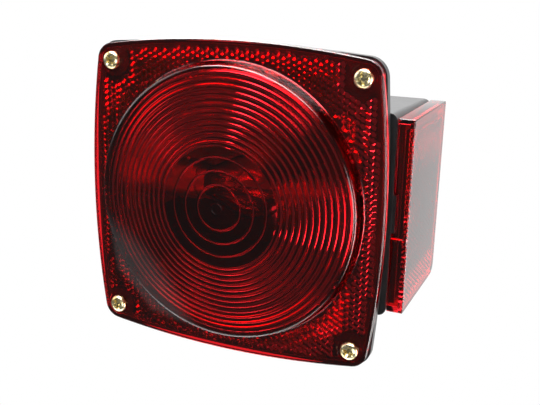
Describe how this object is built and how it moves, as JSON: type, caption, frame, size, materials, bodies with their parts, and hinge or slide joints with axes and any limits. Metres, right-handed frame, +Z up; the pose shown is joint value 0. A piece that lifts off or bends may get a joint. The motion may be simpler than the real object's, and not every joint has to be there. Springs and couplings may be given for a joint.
{
  "type": "trailer tail light",
  "caption": "Square combination tail light with a domed red lens, a side marker lens, two bayonet bulbs and rear studs.",
  "frame": {"origin": "on the flat back face of the housing, midway between the two mounting studs", "axes": "+Y out of the back face, into the vehicle; +Z up; +X to the side marker lens, the kerb side"},
  "size_m": [0.1268, 0.0946, 0.1204],
  "materials": {
    "red_lens": "clear red moulded acrylic, polished outside, with moulded flutes and prisms inside",
    "black_housing": "black moulded plastic, semi-gloss, faint flow texture",
    "black_rubber": "matte black rubber",
    "yellow_zinc": "steel with yellow iridescent zinc plating",
    "bright_zinc": "bright zinc-plated steel",
    "spring_steel": "drawn spring wire",
    "phenolic": "brown pressed phenolic, matte",
    "brass": "drawn brass, lightly tarnished",
    "solder": "soft solder, satin",
    "clear_glass": "clear blown glass",
    "tungsten": "dull grey wire",
    "brown_wire": "brown PVC wire insulation"
  },
  "bodies": {
    "lamp_body": {"housing": "black_housing", "main_lens": "red_lens", "lens_gasket": "black_rubber", "lens_screw_bottom_left": "yellow_zinc", "lens_screw_top_left": "yellow_zinc", "lens_screw_bottom_right": "yellow_zinc", "lens_screw_top_right": "yellow_zinc", "side_marker_lens": "red_lens", "mounting_stud_left": "bright_zinc", "mounting_stud_right": "bright_zinc", "lock_washer_left": "bright_zinc", "lock_washer_right": "bright_zinc", "stud_nut_left": "bright_zinc", "stud_nut_right": "bright_zinc", "wire_grommet": "black_rubber", "socket_chassis": "bright_zinc", "main_socket_shell": "bright_zinc", "main_contact_spring": "spring_steel", "marker_socket_shell": "bright_zinc", "marker_contact_spring": "spring_steel", "tail_jumper_lead": "brown_wire"},
    "main_plunger": {"main_contact_disc": "phenolic", "main_contact_stop": "brass", "main_contact_tail": "brass"},
    "main_bulb": {"main_bulb_base": "brass", "main_bulb_insulator": "phenolic", "main_solder_dot_stop": "solder", "main_solder_dot_tail": "solder", "main_bulb_glass": "clear_glass", "main_bulb_stem": "clear_glass", "main_filament_stop": "tungsten", "main_filament_tail": "tungsten"},
    "marker_plunger": {"marker_contact_disc": "phenolic", "marker_contact_tail": "brass"},
    "marker_bulb": {"marker_bulb_base": "brass", "marker_bulb_insulator": "phenolic", "marker_solder_dot_tail": "solder", "marker_bulb_glass": "clear_glass", "marker_bulb_stem": "clear_glass", "marker_filament": "tungsten"}
  },
  "joints": [
    {"name": "main_bulb_press", "type": "slide", "parent": "lamp_body", "child": "main_plunger", "axis": [-1, 0, 0], "range_m": [0, 0.002], "stiffness_N_per_m": 800, "springref_m": -0.004, "deforming": ["main_contact_spring"]},
    {"name": "main_bulb_turn", "type": "hinge", "parent": "main_plunger", "child": "main_bulb", "pos_m": [-0.0386, -0.032, 0], "axis": [1, 0, 0], "range_deg": [0, 30]},
    {"name": "marker_bulb_press", "type": "slide", "parent": "lamp_body", "child": "marker_plunger", "axis": [-1, 0, 0], "range_m": [0, 0.0016], "stiffness_N_per_m": 600, "springref_m": -0.004, "deforming": ["marker_contact_spring"]},
    {"name": "marker_bulb_turn", "type": "hinge", "parent": "marker_plunger", "child": "marker_bulb", "pos_m": [0.032, -0.032, 0.006], "axis": [1, 0, 0], "range_deg": [0, 30]}
  ],
  "couplings": [
    {"joint": "main_bulb_turn", "follows": "main_bulb_press", "rad_per_m": 261.8},
    {"joint": "marker_bulb_turn", "follows": "marker_bulb_press", "rad_per_m": 327.25}
  ]
}
